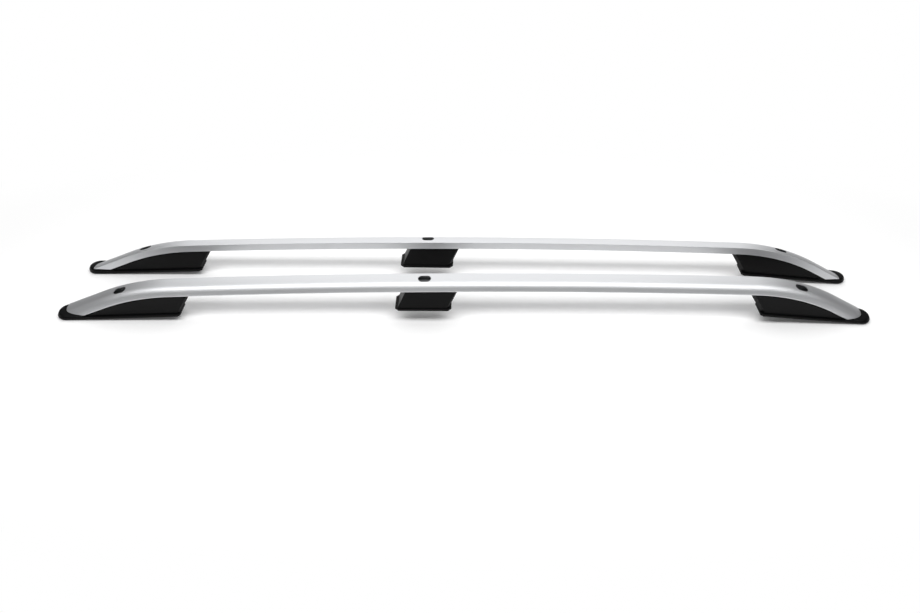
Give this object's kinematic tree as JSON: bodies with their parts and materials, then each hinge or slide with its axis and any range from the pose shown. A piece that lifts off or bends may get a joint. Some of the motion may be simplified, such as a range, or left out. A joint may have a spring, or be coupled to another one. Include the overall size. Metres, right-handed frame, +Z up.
{
  "type": "roof side rail pair",
  "caption": "Low raised roof side rails: arched satin aluminium tubes with sloping ends on black moulded feet with rounded noses.",
  "frame": {"origin": "on the floor under the noses, in the middle of the pair", "axes": "+X along the rails towards the rear feet, +Y across from the left rail to the right rail, +Z up"},
  "size_m": [1.9947, 0.2486, 0.1141],
  "materials": {
    "tube": "satin anodised, drawn along its length",
    "foot": "fine moulded grain",
    "gasket": "matt",
    "screws": "zinc plated"
  },
  "bodies": {
    "root": {"left_rail_tube": "tube", "left_front_foot": "foot", "left_front_gasket": "gasket", "left_front_foot_screws": "screws", "left_middle_foot": "foot", "left_middle_gasket": "gasket", "left_middle_foot_screws": "screws", "left_rear_foot": "foot", "left_rear_gasket": "gasket", "left_rear_foot_screws": "screws", "right_rail_tube": "tube", "right_front_foot": "foot", "right_front_gasket": "gasket", "right_front_foot_screws": "screws", "right_middle_foot": "foot", "right_middle_gasket": "gasket", "right_middle_foot_screws": "screws", "right_rear_foot": "foot", "right_rear_gasket": "gasket", "right_rear_foot_screws": "screws"}
  },
  "joints": []
}
